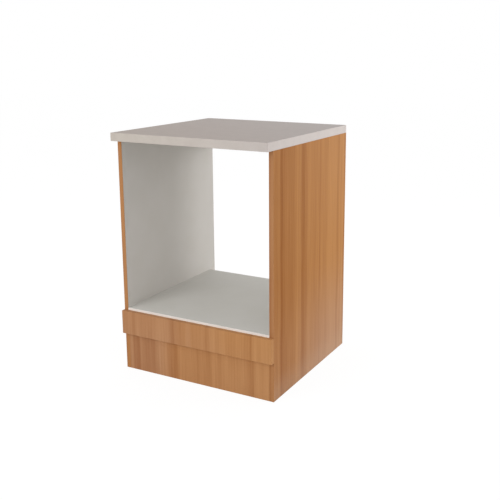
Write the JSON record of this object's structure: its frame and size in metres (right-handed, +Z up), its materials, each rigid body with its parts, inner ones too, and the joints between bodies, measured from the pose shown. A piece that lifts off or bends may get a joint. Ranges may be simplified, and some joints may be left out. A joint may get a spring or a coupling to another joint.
{
  "type": "oven housing cabinet",
  "caption": "Open-backed base cabinet with a worktop, an oven shelf, a front strip and a plinth, which holds a built-in oven under a hob.",
  "frame": {"origin": "on the floor, under the middle of the worktop", "axes": "+Z up, -Y to the front where the oven goes in, +Y to the wall, +X to the right seen from the front"},
  "size_m": [0.6, 0.6, 0.85],
  "materials": {
    "beech_board": "beech decor melamine on particle board, pale inside",
    "beech_edging": "beech decor edge band",
    "pale_board": "pale grey melamine on particle board",
    "pale_edging": "pale edge band",
    "worktop_board": "grey beige laminate on particle board",
    "worktop_edging": "grey beige edge band",
    "dowel_wood": "bare beech, fluted",
    "zinc_casting": "cast zinc alloy",
    "zinc_steel": "zinc plated steel"
  },
  "bodies": {
    "root": {"worktop": "worktop_board", "worktop_front_edging": "worktop_edging", "worktop_edging_left": "worktop_edging", "worktop_edging_right": "worktop_edging", "side_panel_left": "beech_board", "side_panel_right": "beech_board", "side_edging_left": "beech_edging", "side_edging_right": "beech_edging", "oven_shelf": "pale_board", "shelf_edging": "pale_edging", "front_strip": "beech_board", "strip_long_edgings": "beech_edging", "strip_end_edgings": "beech_edging", "plinth_board": "beech_board", "rear_rail": "pale_board", "shelf_cam_discs": "zinc_casting", "rail_cam_discs": "zinc_casting", "shelf_cam_bolts": "zinc_steel", "rail_cam_bolts": "zinc_steel", "shelf_dowels": "dowel_wood", "rail_dowels": "dowel_wood", "plinth_dowels": "dowel_wood", "strip_dowels": "dowel_wood", "worktop_brackets": "zinc_steel", "strip_brackets": "zinc_steel", "plinth_brackets": "zinc_steel", "worktop_bracket_screws": "zinc_steel", "strip_bracket_screws": "zinc_steel", "plinth_bracket_screws": "zinc_steel"}
  },
  "joints": []
}
